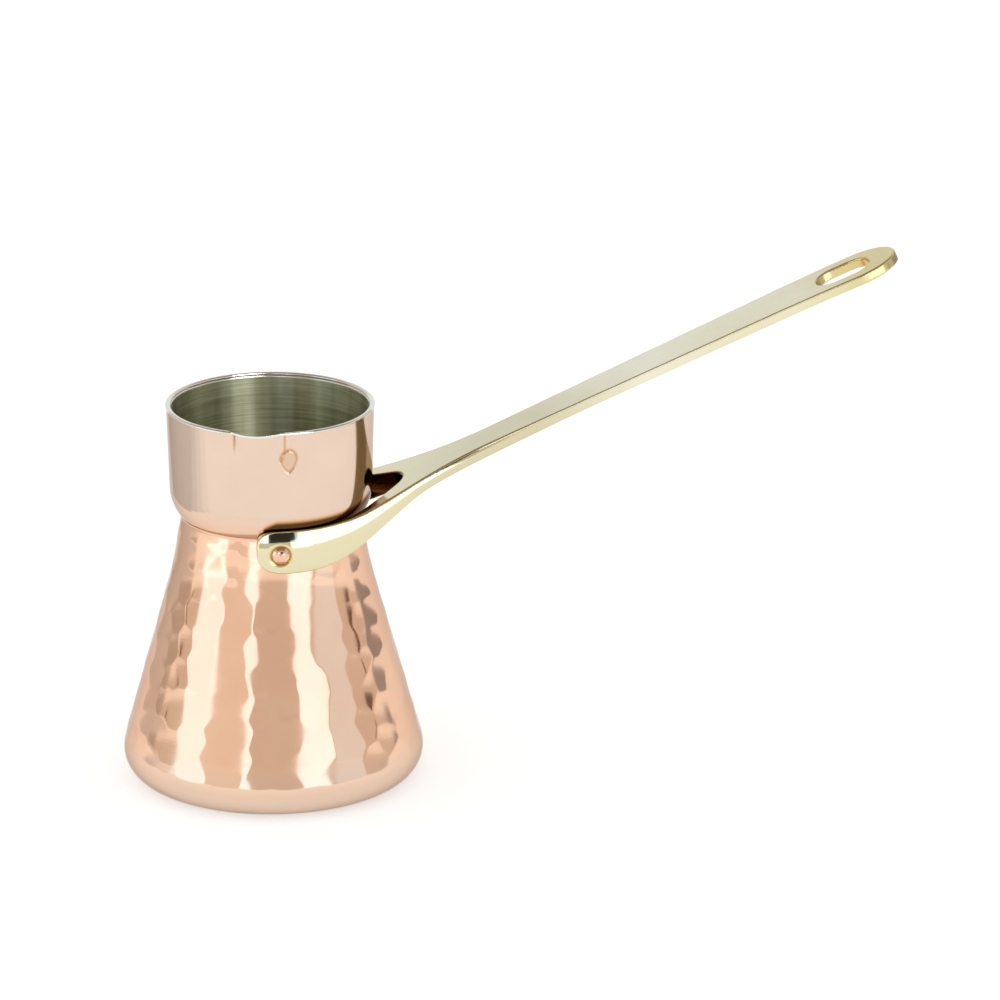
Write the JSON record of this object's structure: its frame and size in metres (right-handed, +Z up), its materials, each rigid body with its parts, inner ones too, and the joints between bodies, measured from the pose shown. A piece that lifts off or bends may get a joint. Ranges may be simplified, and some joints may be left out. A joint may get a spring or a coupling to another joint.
{
  "type": "turkish coffee pot",
  "caption": "Turkish coffee pot: hammered conical body with a narrow neck, a tall collar and a pouring lip, and a long forked handle riveted to the neck.",
  "frame": {"origin": "centre of the flat base, on the surface that the pot stands on", "axes": "+Z up, +X along the handle, the front rivet on the -Y side"},
  "size_m": [0.2153, 0.0836, 0.1482],
  "materials": {
    "copper": "hammered and polished copper",
    "tin": "brushed tin lining",
    "brass": "satin cast brass",
    "rivet_copper": "polished copper"
  },
  "bodies": {
    "root": {"copper_body": "copper", "tin_lining": "tin", "handle": "brass", "rivet_front": "rivet_copper", "rivet_back": "rivet_copper"}
  },
  "joints": []
}
